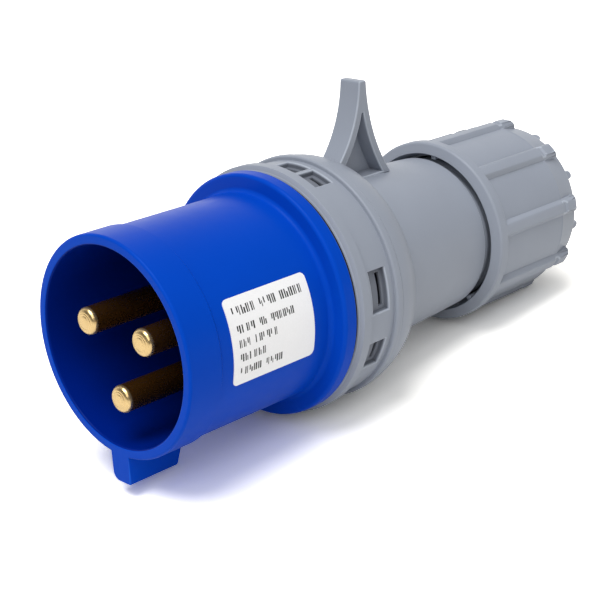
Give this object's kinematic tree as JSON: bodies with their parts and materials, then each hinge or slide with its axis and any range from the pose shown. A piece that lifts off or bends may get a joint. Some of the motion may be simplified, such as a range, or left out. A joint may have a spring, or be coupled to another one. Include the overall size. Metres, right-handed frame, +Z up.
{
  "type": "industrial pin and sleeve plug",
  "caption": "Industrial pin and sleeve plug with a blue round shroud, brass contact pins, grey housing with latch fin and a ribbed cable gland nut.",
  "frame": {"origin": "middle of the plug's footprint, on the table under it", "axes": "+Y towards the cable end, mouth towards -Y, +Z up with the latch fin on top, +X to the label side"},
  "size_m": [0.057, 0.1418, 0.0693],
  "materials": {
    "shroud_blue": "semi-gloss moulded plastic, deep blue",
    "housing_grey": "fine satin moulded plastic, cool mid grey",
    "contact_brass": "turned and polished",
    "screw_steel": "zinc plated",
    "seal_rubber": "soft black rubber",
    "washer_white": "plain natural plastic",
    "clamp_grey": "satin moulded plastic, darker grey",
    "label_white": "printed foil label, satin"
  },
  "bodies": {
    "housing_body": {"shroud": "shroud_blue", "label": "label_white", "line_pin": "contact_brass", "neutral_pin": "contact_brass", "earth_pin": "contact_brass", "line_screw": "screw_steel", "neutral_screw": "screw_steel", "earth_screw": "screw_steel", "terminal_cover": "shroud_blue", "cover_screw_left": "screw_steel", "cover_screw_right": "screw_steel", "flange_gasket": "seal_rubber", "housing": "housing_grey", "cable_seal": "seal_rubber", "seal_insert": "seal_rubber"},
    "clamp_body": {"slip_washer": "washer_white", "cable_clamp": "clamp_grey"},
    "nut_body": {"gland_nut": "housing_grey"}
  },
  "joints": [
    {"name": "clamp_travel", "type": "slide", "parent": "housing_body", "child": "clamp_body", "axis": [0, 0.9958, -0.0918], "range_m": [0, 0.0106]},
    {"name": "nut_turn", "type": "hinge", "parent": "clamp_body", "child": "nut_body", "pos_m": [0, 0.04969, 0.02273], "axis": [0, 0.9958, -0.0918], "range_deg": [0, 1260]}
  ],
  "couplings": [
    {"joint": "clamp_travel", "follows": "nut_turn", "m_per_rad": 0.00047746}
  ]
}
